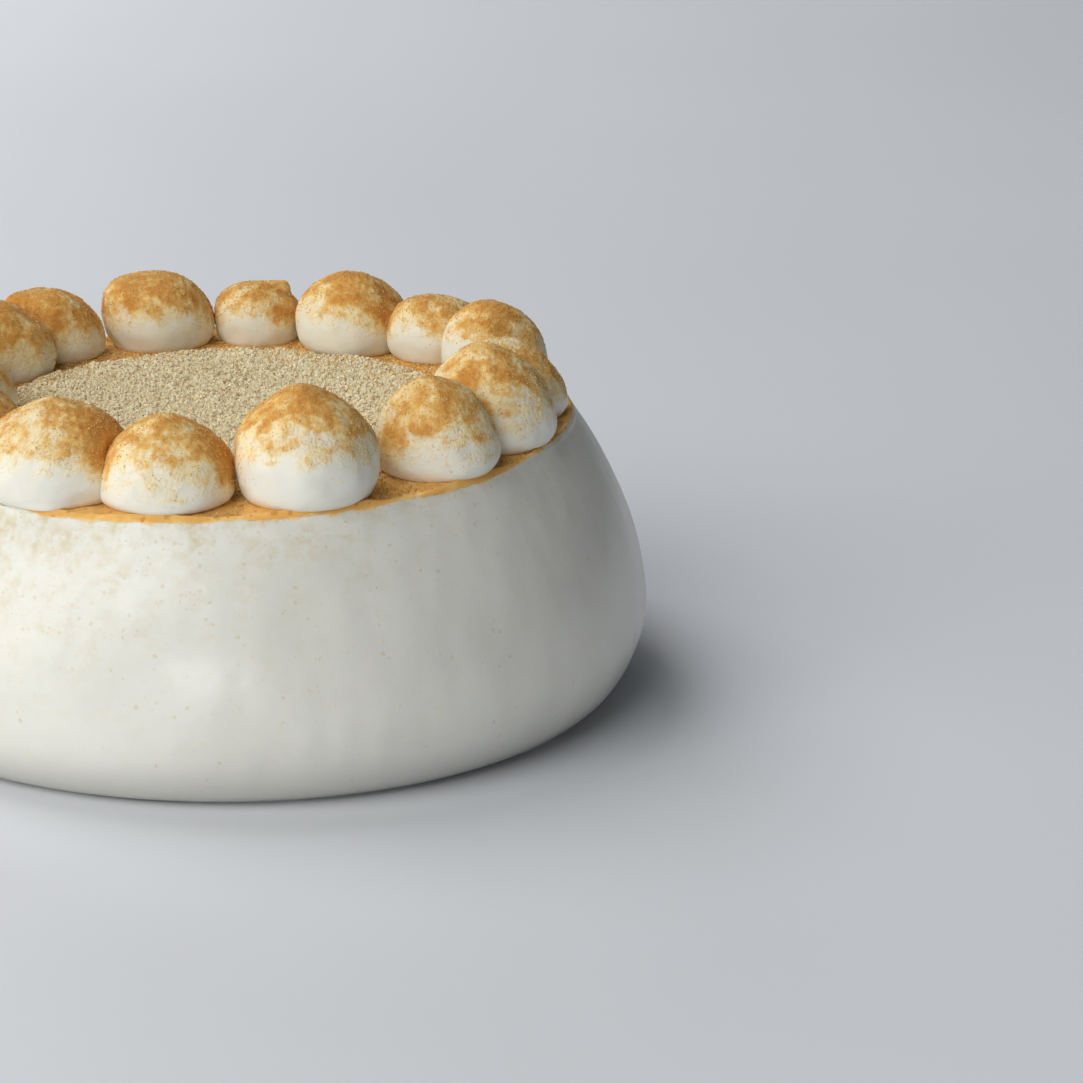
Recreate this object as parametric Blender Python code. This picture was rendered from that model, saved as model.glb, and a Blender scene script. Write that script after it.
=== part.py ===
"""A round tofu cheesecake with a cream coat, a ring of piped cream domes and a bed of fine crumbs.

The cake bulges low down, draws in to a rounded foot and ends in a soft rim round a level top.
The top was finished by hand: it sits a little to one side and slopes towards -X.
Units are metres, +Z is up, and the origin is the middle of the foot.
"""

import math

import bmesh
import bpy
import numpy as np
from mathutils import Vector

# Cake body
CAKE_RADIUS = 0.0900
CAKE_HEIGHT = 0.0584
FOOT_RADIUS = 0.0780
BULGE_HEIGHT = 0.0175
FOOT_ROUNDNESS = 1.75
SHOULDER_POWER = 1.95
RIM_RADIUS = 0.0757
RIM_ROUNDING = 0.0009
LEDGE_DROP = 0.0005
SIDE_STEPS = 96
FOOT_LEVELS = 5
SHOULDER_LEVELS = 7
RIM_LEVELS = 3

# The top's own place: its shift from the axis, and the rise of its slope towards +X
TOP_SHIFT = -0.0020
TOP_SLOPE = 0.0029 / 0.0900

# Cream domes, anticlockwise seen from above, from the one left of the front, as piped by hand.
# Each has the azimuth of its foot in degrees, 0 at the front (-Y) and 90 at +X, and then
# in millimetres how far the foot is from the middle, its half width, its height and how far
# its tip leans towards -X. Last come the share of the height at which it is widest and
# how pointed it is, where 1 is round, less is flat and more is conical.
DOMES = (
    (-31.5, 62.4, 15.8, 19.7, 0.0, 0.31, 1.40),
    (-9.5, 62.3, 14.0, 17.4, 0.4, 0.20, 1.20),
    (16.0, 63.9, 14.9, 22.5, 0.9, 0.34, 1.35),
    (43.7, 64.1, 12.7, 20.0, 1.1, 0.20, 1.35),
    (64.0, 63.0, 13.7, 21.3, 1.9, 0.26, 1.30),
    (83.0, 63.8, 10.8, 16.9, 4.2, 0.34, 1.05),
    (109.5, 64.2, 11.8, 18.0, 2.0, 0.33, 1.20),
    (132.0, 65.4, 10.9, 13.8, 0.9, 0.35, 0.90),
    (150.8, 62.3, 13.3, 17.1, 1.2, 0.28, 1.05),
    (172.0, 64.1, 9.8, 13.5, 0.8, 0.38, 0.87),
    (192.0, 64.2, 12.5, 16.5, 3.0, 0.42, 0.83),
    (213.3, 65.6, 10.8, 15.3, 4.2, 0.34, 0.77),
    (230.6, 62.8, 12.8, 17.5, 4.4, 0.34, 1.14),
    (251.5, 64.3, 12.4, 17.0, 2.5, 0.34, 1.10),
    (275.0, 57.0, 14.2, 20.0, 1.0, 0.33, 1.25),
    (302.0, 62.0, 13.4, 19.5, 0.5, 0.30, 1.30),
)
DOME_FOOT = 0.70
DOME_LEAN_POWER = 1.6
DOME_SIDE_STEPS = 20
DOME_LOWER_LEVELS = 3
DOME_UPPER_LEVELS = 5

# Bed of crumbs
CRUMB_BED_RADIUS = 0.0480
CRUMB_BED_HEIGHT = 0.0022
CRUMB_BED_CROWN = 0.0006
CRUMB_BUMP = 0.0004
CRUMB_EDGE_RISE = 0.35
CRUMB_EDGE_SLOPE = 0.07
CRUMB_EDGE_WAVES = 9
CRUMB_EDGE_WAVE = 0.0008
CRUMB_CLEARANCE = 0.0006
CRUMB_RINGS = 22
CRUMB_STEPS = 84
CRUMB_SEED = 7

# Room left between pieces that touch
GAP = 0.0003

CREAM_COLOUR = (0.80, 0.76, 0.66, 1.0)
DOME_COLOUR = (0.80, 0.66, 0.44, 1.0)
CRUMB_COLOUR = (0.62, 0.50, 0.34, 1.0)


def clear_scene():
    for obj in list(bpy.data.objects):
        bpy.data.objects.remove(obj, do_unlink=True)


def make_material(name, colour, roughness):
    material = bpy.data.materials.new(name)
    material.use_nodes = True
    shader = material.node_tree.nodes["Principled BSDF"]
    shader.inputs["Base Color"].default_value = colour
    shader.inputs["Roughness"].default_value = roughness
    shader.inputs["Metallic"].default_value = 0.0
    return material


def make_object(name, bm, material, sharp_degrees=40):
    """Puts a finished bmesh into the scene as one smooth-shaded object."""
    bmesh.ops.recalc_face_normals(bm, faces=bm.faces[:])
    mesh = bpy.data.meshes.new(name)
    bm.to_mesh(mesh)
    bm.free()
    mesh.materials.append(material)
    mesh.shade_smooth()
    mesh.set_sharp_from_angle(angle=math.radians(sharp_degrees))
    obj = bpy.data.objects.new(name, mesh)
    bpy.context.collection.objects.link(obj)
    return obj


def turned(profile, steps):
    """A closed solid turned round Z from (radius, height) points, with both ends closed by a fan."""
    bm = bmesh.new()
    rings = []
    for radius, height in profile:
        angles = [2 * math.pi * step / steps for step in range(steps)]
        ring = [bm.verts.new((radius * math.cos(a), radius * math.sin(a), height)) for a in angles]
        rings.append(ring)
    for lower, upper in zip(rings, rings[1:]):
        for i in range(steps):
            j = (i + 1) % steps
            bm.faces.new((lower[i], lower[j], upper[j], upper[i]))
    for ring, height in ((rings[0], profile[0][1]), (rings[-1], profile[-1][1])):
        middle = bm.verts.new((0, 0, height))
        for i in range(steps):
            bm.faces.new((ring[i], ring[(i + 1) % steps], middle))
    return bm


def side_profile():
    """The cake's outer side from the foot up to the start of the rim, as (radius, height) points."""
    points = []
    power = 2 / FOOT_ROUNDNESS
    for turn in np.linspace(0, math.pi / 2, FOOT_LEVELS, endpoint=False):
        radius = FOOT_RADIUS + (CAKE_RADIUS - FOOT_RADIUS) * math.sin(turn) ** power
        points.append((radius, BULGE_HEIGHT * (1 - math.cos(turn) ** power)))
    top = CAKE_HEIGHT - RIM_ROUNDING
    for rise in np.linspace(0, 1, SHOULDER_LEVELS):
        radius = CAKE_RADIUS - (CAKE_RADIUS - RIM_RADIUS) * rise ** SHOULDER_POWER
        points.append((radius, BULGE_HEIGHT + (top - BULGE_HEIGHT) * rise))
    return points


def rim_profile():
    """The rim rounded over to the ledge, which lies a little lower."""
    middle = RIM_RADIUS - RIM_ROUNDING
    points = []
    for turn in np.linspace(0, math.pi / 2, RIM_LEVELS)[1:]:
        height = CAKE_HEIGHT - RIM_ROUNDING * (1 - math.sin(turn))
        points.append((middle + RIM_ROUNDING * math.cos(turn), height))
    points.append((middle - RIM_ROUNDING, CAKE_HEIGHT - LEDGE_DROP))
    return points


def lean_top(bm):
    """Moves each level above the bulge sideways, and tips it, by its share of the way up."""
    for vert in bm.verts:
        share = max(0.0, (vert.co.z - BULGE_HEIGHT) / (CAKE_HEIGHT - BULGE_HEIGHT)) ** 1.5
        vert.co.z += share * TOP_SLOPE * vert.co.x
        vert.co.x += share * TOP_SHIFT


def make_body(material):
    bm = turned(side_profile() + rim_profile(), SIDE_STEPS)
    lean_top(bm)
    return make_object("cake_body", bm, material)


def make_top_frame():
    """An empty on the ledge, shifted and tipped as the cake's top is."""
    frame = bpy.data.objects.new("cake_top", None)
    height = CAKE_HEIGHT - LEDGE_DROP
    frame.location = (TOP_SHIFT, 0, height)
    frame.rotation_euler = (0, -math.atan(TOP_SLOPE), 0)
    bpy.context.collection.objects.link(frame)
    return frame


def dome_centre(dome):
    azimuth, distance = math.radians(dome[0]), dome[1] / 1000
    return np.array([distance * math.sin(azimuth), -distance * math.cos(azimuth)])


def dome_profile(half_width, height, widest, pointedness):
    """A blob from a plain nozzle: a narrower foot, its widest at the waist and a closing top."""
    waist = widest * height
    points = []
    for turn in np.linspace(-math.pi / 2, 0, DOME_LOWER_LEVELS, endpoint=False):
        radius = half_width * (DOME_FOOT + (1 - DOME_FOOT) * math.cos(turn))
        points.append((radius, waist * (1 + math.sin(turn))))
    for turn in np.linspace(0, math.pi / 2, DOME_UPPER_LEVELS, endpoint=False):
        radius = half_width * math.cos(turn) ** pointedness
        points.append((radius, waist + (height - waist) * math.sin(turn)))
    return points


def make_dome_mesh(dome):
    """The turned blob, leaning. Its top fan ends in a point at the full height."""
    half_width, height, lean = (value / 1000 for value in dome[2:5])
    bm = turned(dome_profile(half_width, height, *dome[5:7]), DOME_SIDE_STEPS)
    bm.verts.ensure_lookup_table()
    bm.verts[len(bm.verts) - 1].co.z = height
    for vert in bm.verts:
        vert.co.x -= lean * (vert.co.z / height) ** DOME_LEAN_POWER
    return bm


def press_flat(bm, towards, half_width, neighbour_half_width):
    """Cuts a blob flat where it is pressed against its neighbour, half the gap short of it."""
    distance = float(np.hypot(*towards))
    reach = (distance ** 2 + half_width ** 2 - neighbour_half_width ** 2) / (2 * distance)
    normal = Vector((towards[0] / distance, towards[1] / distance, 0))
    point = normal * (reach - GAP / 2)
    if max((vert.co - point).dot(normal) for vert in bm.verts) <= 0:
        return
    geometry = bm.verts[:] + bm.edges[:] + bm.faces[:]
    cut = bmesh.ops.bisect_plane(bm, geom=geometry, plane_co=point, plane_no=normal, clear_outer=True)
    rim = [item for item in cut["geom_cut"] if isinstance(item, bmesh.types.BMEdge)]
    bmesh.ops.contextual_create(bm, geom=rim)


def make_domes(material, top_frame):
    centres = [dome_centre(dome) for dome in DOMES]
    widths = [dome[2] / 1000 for dome in DOMES]
    for i, dome in enumerate(DOMES):
        bm = make_dome_mesh(dome)
        for j in (i - 1, (i + 1) % len(DOMES)):
            press_flat(bm, centres[j] - centres[i], widths[i], widths[j])
        blob = make_object(f"cream_dome_{i + 1:02d}", bm, material)
        blob.parent = top_frame
        blob.location = (centres[i][0], centres[i][1], GAP)


def crumb_edge(directions):
    """How far the bed reaches each way: its wavy round edge, held clear of the domes in its way."""
    turns = np.arctan2(directions[:, 1], directions[:, 0])
    reach = CRUMB_BED_RADIUS + CRUMB_EDGE_WAVE * np.sin(CRUMB_EDGE_WAVES * turns)
    for dome in DOMES:
        centre = dome_centre(dome)
        along = directions @ centre
        across = directions[:, 0] * centre[1] - directions[:, 1] * centre[0]
        clear = dome[2] / 1000 + CRUMB_CLEARANCE
        half_chord = np.sqrt(np.maximum(0.0, clear ** 2 - across ** 2))
        in_the_way = (half_chord > 0) & (along > 0)
        reach = np.where(in_the_way, np.minimum(reach, along - half_chord), reach)
    return reach


def make_crumb_bed(material, top_frame):
    """A low round bed with a flat underside, whose top is covered in bumps of a crumb's size."""
    rng = np.random.default_rng(CRUMB_SEED)
    turns = np.linspace(0, 2 * math.pi, CRUMB_STEPS, endpoint=False)
    directions = np.column_stack([np.cos(turns), np.sin(turns)])
    reach = crumb_edge(directions)
    profile = [(1.0, 0.0)]
    for share in np.linspace(1, 0, CRUMB_RINGS, endpoint=False):
        slope = CRUMB_EDGE_RISE + (1 - CRUMB_EDGE_RISE) * (1 - share) / CRUMB_EDGE_SLOPE
        profile.append((share, CRUMB_BED_HEIGHT * min(1.0, slope)))
    bm = turned(profile, CRUMB_STEPS)
    bm.verts.ensure_lookup_table()
    for ring in range(len(profile)):
        for step in range(CRUMB_STEPS):
            vert = bm.verts[ring * CRUMB_STEPS + step]
            share = profile[ring][0]
            vert.co.x, vert.co.y = reach[step] * share * directions[step]
            if ring > 0:
                bump = CRUMB_BUMP * min(1.0, 4 * share) * rng.uniform(-1, 1)
                vert.co.z += CRUMB_BED_CROWN * (1 - share ** 2) + bump
    middle = bm.verts[len(bm.verts) - 1]
    middle.co.z = CRUMB_BED_HEIGHT + CRUMB_BED_CROWN
    bed = make_object("crumb_bed", bm, material, sharp_degrees=60)
    bed.parent = top_frame
    bed.location = (0, 0, GAP)


def main():
    clear_scene()
    make_body(make_material("ivory_cream_coat", CREAM_COLOUR, 0.45))
    top_frame = make_top_frame()
    make_domes(make_material("dusted_cream", DOME_COLOUR, 0.70), top_frame)
    make_crumb_bed(make_material("pale_crumbs", CRUMB_COLOUR, 0.90), top_frame)


main()
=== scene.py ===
"""Looks of a round tofu cheesecake: cream coat, piped cream domes, roasted powder and a crumb bed.

Lengths are metres unless a name says otherwise. Azimuths are degrees, 0 at the front (-Y), 90 at +X.
Every surface is worked out with numpy as whole arrays, and the formula is in its function's docstring.
"""

import math

import bpy
import numpy as np
from mathutils import Matrix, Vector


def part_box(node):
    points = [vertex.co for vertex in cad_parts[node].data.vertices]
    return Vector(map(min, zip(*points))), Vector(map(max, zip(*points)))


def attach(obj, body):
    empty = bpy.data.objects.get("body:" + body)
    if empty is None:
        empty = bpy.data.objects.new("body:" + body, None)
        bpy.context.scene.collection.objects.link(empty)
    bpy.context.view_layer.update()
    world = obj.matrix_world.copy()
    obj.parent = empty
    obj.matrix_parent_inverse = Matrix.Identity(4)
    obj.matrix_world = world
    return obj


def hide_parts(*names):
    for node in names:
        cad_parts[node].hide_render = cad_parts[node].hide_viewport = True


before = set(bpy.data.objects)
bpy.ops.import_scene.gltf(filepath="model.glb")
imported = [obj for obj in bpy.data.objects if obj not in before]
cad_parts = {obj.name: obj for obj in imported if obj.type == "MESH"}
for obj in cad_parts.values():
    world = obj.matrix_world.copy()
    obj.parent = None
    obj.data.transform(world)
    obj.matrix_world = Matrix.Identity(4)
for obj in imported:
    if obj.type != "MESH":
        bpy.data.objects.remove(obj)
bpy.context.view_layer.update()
BODY = "root"

# Camera, worked out from the photograph's perspective
IMAGE_SIDE_PX = 1083
FOCAL_LENGTH_PX = 4179.6
SENSOR_WIDTH_MM = 36.0
CAMERA_DISTANCE = 0.8640
CAMERA_HEIGHT = 0.2993
CAMERA_YAW = 4.456
CAMERA_PITCH = 17.287
CAMERA_ROLL = 0.981

# Cake body, as in the solid
BODY_LOW, BODY_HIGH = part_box("cake_body")
CAKE_RADIUS = (BODY_HIGH.x - BODY_LOW.x) / 2
CAKE_HEIGHT = 0.0584
FOOT_RADIUS = 0.0780
BULGE_HEIGHT = 0.0175
FOOT_ROUNDNESS = 1.75
SHOULDER_POWER = 1.95
RIM_RADIUS = 0.0757
RIM_ROUNDING = 0.0009
LEDGE_DROP = 0.0005
TOP_SHIFT = -0.0020
TOP_SLOPE = 0.0029 / 0.0900
LEDGE_MIDDLE = np.array([TOP_SHIFT, 0, CAKE_HEIGHT - LEDGE_DROP])
LEDGE_AXES = np.array(Matrix.Rotation(-math.atan(TOP_SLOPE), 3, "Y"))
CAKE_MIDDLE = (0, 0, CAKE_HEIGHT / 2)
LEDGE_INNER_RADIUS = 0.046
SIDE_INNER_RADIUS = 0.070
BODY_COLUMNS = 560
FOOT_ROWS = 24
SIDE_ROWS = 62
RIM_ROWS = 7
LIP_ROWS = 5
LEDGE_ROWS = 42
SPECKED_SIDE = -50
POWDER_REACH = 0.0024
RIM_SPILL = 0.0011
BARE_RIM_AZIMUTH = -46
BARE_RIM_WIDTH = 13

# Line of cream at the foot
FOOT_LINE_COLUMNS = 720
FOOT_LINE_LOOPS = 14
FOOT_LINE_THICKNESS = 0.00042
FOOT_LINE_THINNEST = 0.00012

# Domes: what their solids don't tell. Each has how far its tip leans towards -X in millimetres,
# the share of its height at which it is widest, and how pointed it is (1 is round, less is flat).
DOME_FORMS = (
    (0.0, 0.31, 1.40),
    (0.4, 0.20, 1.20),
    (0.9, 0.34, 1.35),
    (1.1, 0.20, 1.35),
    (1.9, 0.26, 1.30),
    (4.2, 0.34, 1.05),
    (2.0, 0.33, 1.20),
    (0.9, 0.35, 0.90),
    (1.2, 0.28, 1.05),
    (0.8, 0.38, 0.87),
    (3.0, 0.42, 0.83),
    (4.2, 0.34, 0.77),
    (4.4, 0.34, 1.14),
    (2.5, 0.34, 1.10),
    (1.0, 0.33, 1.25),
    (0.5, 0.30, 1.30),
)
DOME_COUNT = len(DOME_FORMS)
DOME_FOOT = 0.76
DOME_PRESS = 0.0003
DOME_LEAN_POWER = 1.6
DOME_COLUMNS = 180
DOME_LOWER_ROWS = 26
DOME_UPPER_ROWS = 76
DOME_SEED = 100
CREVICE_REACH = 0.0022
# Places on single domes: dome, azimuth, share of its height, spread along and up in millimetres,
# how far the cream stands out there in millimetres, and how much more powder lies on it.
# The extra powder on the right sides of domes 1 and 2 is partly painted shade, and the lessened
# powder on the front-left of domes 1 to 3 is partly painted light.
DOME_MARKS = (
    (1, -15, 0.85, 9.0, 7.0, 0.0, -0.22),
    (1, -50, 0.86, 3.0, 2.0, 0.0, -0.20),
    (1, -8, 0.05, 4.5, 0.7, 0.7, 0.0),
    (1, 66, 0.68, 5.0, 4.5, 0.0, 0.90),
    (2, -10, 0.75, 7.0, 4.0, 0.0, -0.16),
    (2, -62, 0.48, 1.3, 2.4, 0.0, 0.40),
    (2, 74, 0.46, 4.5, 5.5, 0.0, 0.95),
    (2, 0, 0.30, 14.0, 4.0, 0.0, 0.14),
    (3, -14, 0.70, 4.5, 1.6, 0.0, -0.22),
    (3, 25, 0.93, 4.0, 3.0, 0.0, 0.50),
    (4, -58, 0.36, 4.0, 3.5, 0.0, 0.90),
    (4, 0, 0.90, 5.0, 3.0, 0.0, 0.25),
    (4, -20, 0.70, 8.0, 4.0, 0.0, 0.25),
    (4, 0, 0.30, 14.0, 5.0, 0.0, 0.16),
    (6, -60, 0.97, 4.5, 2.2, 0.5, -0.40),
    (7, 0, 0.80, 9.0, 5.0, 0.0, 0.25),
    (9, 0, 0.90, 9.0, 6.0, 0.0, 0.35),
    (10, 92, 0.88, 1.3, 1.2, 1.7, 0.30),
    (10, 30, 0.62, 4.0, 3.5, 0.0, 0.40),
    (11, 10, 0.88, 9.0, 5.0, 0.0, 0.30),
    (12, -80, 0.86, 3.0, 1.6, 0.9, 0.10),
    (12, 0, 0.60, 10.0, 7.0, 0.0, 0.30),
    (13, 10, 0.50, 14.0, 7.0, 0.0, 0.40),
)

# Crumb bed
CRUMB_BED_RADIUS = 0.0500
CRUMB_BED_HEIGHT = 0.0022
CRUMB_BED_CROWN = 0.0006
CRUMB_SINK = 0.0004
CORE_COLUMNS = 360
CORE_ROWS = 120
LEDGE_GAP = 0.0003
CRUMB_SIZE = 0.00082
# Crumbs on the core: name, count, share of the size above, lift in metres, corners and seed.
CRUMB_KINDS = (
    ("crumbs_coarse", 8500, 1.00, 0.00010, 12, 42),
    ("crumbs_middling", 9500, 0.60, 0.00022, 12, 43),
    ("crumbs_fine", 24000, 0.38, 0.00034, 6, 44),
)
CRUMB_SEED = 41
STRAY_COUNT = 9000
STRAY_REACH = 0.0055
TOASTED_SHARE = 0.08
TOASTED_TONE = 0.12
DUSTED_TONE = -0.5

# Loose powder
DOME_GRAINS_EACH = 1400
DOME_GRAIN_SIZE = 0.00025
DOME_GRAIN_SEED = 51
LEDGE_GRAINS_DRAWN = 50000
LEDGE_GRAINS_KEPT = 12000
LEDGE_GRAIN_SIZE = 0.00034
LEDGE_GRAIN_SEED = 61

# Unevenness: kinds of waves, each with its depth and wavelength in metres and its seed
SIDE_LUMPS = ((0.00026, 0.042, 11), (0.00007, 0.013, 12), (0.00002, 0.004, 17))
SIDE_STREAKS = ((0.00005, 0.0060, 13),)
STREAK_STRETCH = (1, 1, 0.15)
DOME_LUMPS = ((0.00030, 0.011, 200), (0.00010, 0.0042, 220))
CRUMB_RELIEF = ((0.00030, 0.0026, 31), (0.00025, 0.012, 32))

# Single waves, each with its wavelength in metres and its seed
BODY_CLUMPS = (0.0016, 14)
BODY_PATCHES = (0.0060, 15)
BODY_BLOTCHES = (0.011, 16)
DOME_BROAD = (0.0090, 300)
DOME_PATCHES = (0.0040, 240)
DOME_CLUMPS = (0.0015, 260)
DOME_FINE = (0.0009, 280)
CRUMB_TONE_WAVES = (0.007, 45)
FOOT_BEADS = (0.0045, 71)
FOOT_SWELL = (0.03, 72)

# Coat: its gloss, the height above which the gloss fades, and the height below which its colour darkens
# with painted shade towards the foot
COAT_GLOSS = 0.62
DUSTY_HEIGHT = 0.036
PAINTED_FOOT_SHADE_HEIGHT = 0.013

# Colours, linear
CREAM = (0.820, 0.815, 0.755)
CREAM_SHADE = (0.690, 0.680, 0.610)
# painted shade: the coat's colour towards the foot, darker as if in shade
CREAM_PAINTED_FOOT_SHADE = (0.580, 0.575, 0.530)
DOME_CREAM = (0.880, 0.868, 0.780)
POWDER_DEEP = (0.640, 0.280, 0.050)
POWDER_MIDDLE = (0.800, 0.490, 0.145)
POWDER_PALE = (0.910, 0.750, 0.430)
POWDER_LEDGE = (0.980, 0.575, 0.170)
SPECK = (0.600, 0.475, 0.200)
CRUMB_DARK = (0.540, 0.350, 0.160)
CRUMB_MIDDLE = (0.940, 0.820, 0.550)
CRUMB_PALE = (0.980, 0.910, 0.710)
FOOT_CREAM = (0.860, 0.860, 0.820)
FOOT_CREAM_SHADE = (0.800, 0.800, 0.760)
FLOOR_COLOUR = (0.785, 0.805, 0.850)
SKY_COLOUR = (0.880, 0.940, 1.000)

# Room and light. Each light has its azimuth and elevation, its distance, width and height,
# its watts and colour, and the place that it faces.
FLOOR_HALF_WIDTH = 4.0
SKY_STRENGTH = 0.060
LIGHTS = (
    ("window", -38, 41, 2.6, 2.4, 1.6, 36.0, (0.99, 1.0, 0.99), CAKE_MIDDLE),
    ("low_window", -62, 14, 2.6, 1.9, 1.5, 16.0, (1.0, 0.94, 0.82), CAKE_MIDDLE),
    ("back_window", -128, 55, 2.4, 1.6, 1.6, 22.0, (1.0, 1.0, 1.0), CAKE_MIDDLE),
    ("far_window", -8, 4, 1.25, 0.40, 0.34, 1.8, (0.97, 0.98, 1.0), CAKE_MIDDLE),
    ("floor_light", -160, 45, 0.75, 0.7, 0.7, 3.3, (0.98, 0.99, 1.0), (-0.22, 0.88, 0)),
)


# Fields and helpers

def smoothstep(low, high, value):
    """0 below low, 1 above high, and a smooth cubic between."""
    share = np.clip((value - low) / (high - low), 0.0, 1.0)
    return share * share * (3 - 2 * share)


def soft_limit(value, limit, width):
    """The value held to at most the limit, turning over smoothly within the width."""
    excess = (value - limit) / width
    return limit - width * np.logaddexp(0.0, -excess)


def waves(points, wavelength, seed, count=18):
    """An uneven field of about -1 to 1: plane waves of about one wavelength in seeded directions."""
    rng = np.random.default_rng(seed)
    directions = rng.normal(size=(count, 3))
    directions /= np.linalg.norm(directions, axis=1, keepdims=True)
    numbers = 2 * np.pi / (wavelength * rng.uniform(0.75, 1.4, count))
    phases = rng.uniform(0, 2 * np.pi, count)
    total = np.sin(points @ (directions * numbers[:, None]).T + phases).sum(axis=1)
    return total / math.sqrt(2 * count)


def grid_waves(grid, wavelength, seed, more_seed=0):
    """The uneven field over rows of points, as one number for each."""
    return waves(grid.reshape(-1, 3), wavelength, seed + more_seed).reshape(grid.shape[:2])


def uneven(grid, kinds, more_seed=0):
    """Several kinds of waves added up over rows of points. Each kind is (depth, wavelength, seed)."""
    return sum(depth * grid_waves(grid, *kind, more_seed) for depth, *kind in kinds)


def to_top(points):
    """Points as seen from the ledge's own frame, which is shifted and tipped about the Y axis."""
    return (points - LEDGE_MIDDLE) @ LEDGE_AXES


def from_top(points):
    """Points of the ledge's own frame back in the cake's frame."""
    return points @ LEDGE_AXES.T + LEDGE_MIDDLE


# Meshes

def make_piece(name, points, quads, triangles, material, slot, replaced=(), smooth=True):
    """Puts mesh arrays into the scene as one piece, smooth or faceted, that rides on the cake."""
    quads = np.asarray(quads, np.int32).reshape(-1, 4)
    triangles = np.asarray(triangles, np.int32).reshape(-1, 3)
    corners = np.concatenate([quads.ravel(), triangles.ravel()])
    sizes = np.concatenate([np.full(len(quads), 4), np.full(len(triangles), 3)]).astype(np.int32)
    starts = np.concatenate([[0], np.cumsum(sizes)[:-1]]).astype(np.int32)
    mesh = bpy.data.meshes.new(name)
    mesh.vertices.add(len(points))
    mesh.vertices.foreach_set("co", np.asarray(points, np.float32).ravel())
    mesh.loops.add(len(corners))
    mesh.loops.foreach_set("vertex_index", corners)
    mesh.polygons.add(len(sizes))
    mesh.polygons.foreach_set("loop_start", starts)
    mesh.polygons.foreach_set("use_smooth", np.full(len(sizes), smooth))
    mesh.update(calc_edges=True)
    mesh.materials.append(material)
    piece = bpy.data.objects.new(name, mesh)
    bpy.context.scene.collection.objects.link(piece)
    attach(piece, BODY)
    if replaced:
        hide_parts(*replaced)
    return piece


def set_field(piece, name, values):
    """Stores one number for each vertex, for a material to read."""
    field = piece.data.attributes.new(name, "FLOAT", "POINT")
    field.data.foreach_set("value", np.asarray(values, np.float32).ravel())


def closed_rows(rows, columns):
    """Faces of a surface of rows of closed loops whose first and last vertices are single poles."""
    index = 1 + np.arange((rows - 2) * columns).reshape(rows - 2, columns)
    after = np.roll(index, -1, axis=1)
    quads = np.stack([index[:-1], after[:-1], after[1:], index[1:]], axis=-1).reshape(-1, 4)
    last = (rows - 2) * columns + 1
    bottom = np.stack([np.zeros(columns, int), after[0], index[0]], axis=-1)
    top = np.stack([np.full(columns, last), index[-1], after[-1]], axis=-1)
    return quads, np.concatenate([bottom, top])


def with_poles(grid):
    """Rows of points, or of numbers, as one list, its first and last rows each made one entry."""
    middle = grid[1:-1].reshape(-1, *grid.shape[2:])
    return np.concatenate([grid[:1, 0], middle, grid[-1:, 0]])


def grid_normals(grid):
    """Outward normals of rows of closed loops: the cross product of the steps along and up."""
    along = np.roll(grid, -1, axis=1) - np.roll(grid, 1, axis=1)
    up = np.gradient(grid, axis=0)
    normals = np.cross(along, up)
    return normals / np.maximum(np.linalg.norm(normals, axis=-1, keepdims=True), 1e-12)


# Cake body

def body_profile():
    """(radius, height) from the middle of the foot over the side to the middle of the top.

    The rounded foot is a quarter superellipse, the side falls away as a power of its rise,
    the rim is a quarter circle and the ledge is level.
    """
    power = 2 / FOOT_ROUNDNESS
    turn = np.linspace(0, np.pi / 2, FOOT_ROWS, endpoint=False)
    foot_radius = FOOT_RADIUS + (CAKE_RADIUS - FOOT_RADIUS) * np.sin(turn) ** power
    foot = np.column_stack([foot_radius, BULGE_HEIGHT * (1 - np.cos(turn) ** power)])
    under = np.column_stack([[0, 0.3 * FOOT_RADIUS, 0.8 * FOOT_RADIUS], np.zeros(3)])
    rise = np.linspace(0, 1, SIDE_ROWS)
    side_radius = CAKE_RADIUS - (CAKE_RADIUS - RIM_RADIUS) * rise ** SHOULDER_POWER
    top = CAKE_HEIGHT - RIM_ROUNDING
    side = np.column_stack([side_radius, BULGE_HEIGHT + (top - BULGE_HEIGHT) * rise])
    turn = np.linspace(0, np.pi / 2, RIM_ROWS)[1:]
    middle = RIM_RADIUS - RIM_ROUNDING
    rim = np.column_stack([middle + RIM_ROUNDING * np.cos(turn), top + RIM_ROUNDING * np.sin(turn)])
    share = np.linspace(0, 1, LIP_ROWS)[1:]
    lip_height = CAKE_HEIGHT - LEDGE_DROP * smoothstep(0, 1, share)
    lip = np.column_stack([middle - RIM_ROUNDING * share, lip_height])
    inward = np.linspace(middle - RIM_ROUNDING, LEDGE_INNER_RADIUS, LEDGE_ROWS)[1:]
    ledge_radius = np.concatenate([inward, [0.03, 0.015, 0]])
    ledge = np.column_stack([ledge_radius, np.full(len(ledge_radius), CAKE_HEIGHT - LEDGE_DROP)])
    return np.concatenate([under, foot, side, rim, lip, ledge])


def nearness_to_domes(x, y, domes):
    """1 at a dome's foot, fading with the distance from it. Places are in the ledge's frame."""
    nearest = np.full(np.shape(x), 1.0)
    for dome in domes:
        away = np.hypot(x - dome["x"], y - dome["y"]) - 0.92 * dome["half_width"]
        nearest = np.minimum(nearest, np.maximum(away, 0))
    return np.exp(-nearest / POWDER_REACH)


def body_grid():
    """The turned profile with its top shifted and tipped: azimuths, radii, heights and points.

    The shift and the tip grow from the widest ring up as a power of the rise.
    """
    profile = body_profile()
    azimuth = np.linspace(0, 2 * np.pi, BODY_COLUMNS, endpoint=False)
    radius = profile[:, 0][:, None]
    height = profile[:, 1][:, None] + 0 * azimuth
    share = np.clip((height - BULGE_HEIGHT) / (CAKE_HEIGHT - BULGE_HEIGHT), 0, 1) ** 1.5
    x = radius * np.cos(azimuth) + share * TOP_SHIFT
    y = radius * np.sin(azimuth)
    z = height + share * TOP_SLOPE * radius * np.cos(azimuth)
    return azimuth, radius, height, np.stack([x, y, z], axis=-1)


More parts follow.
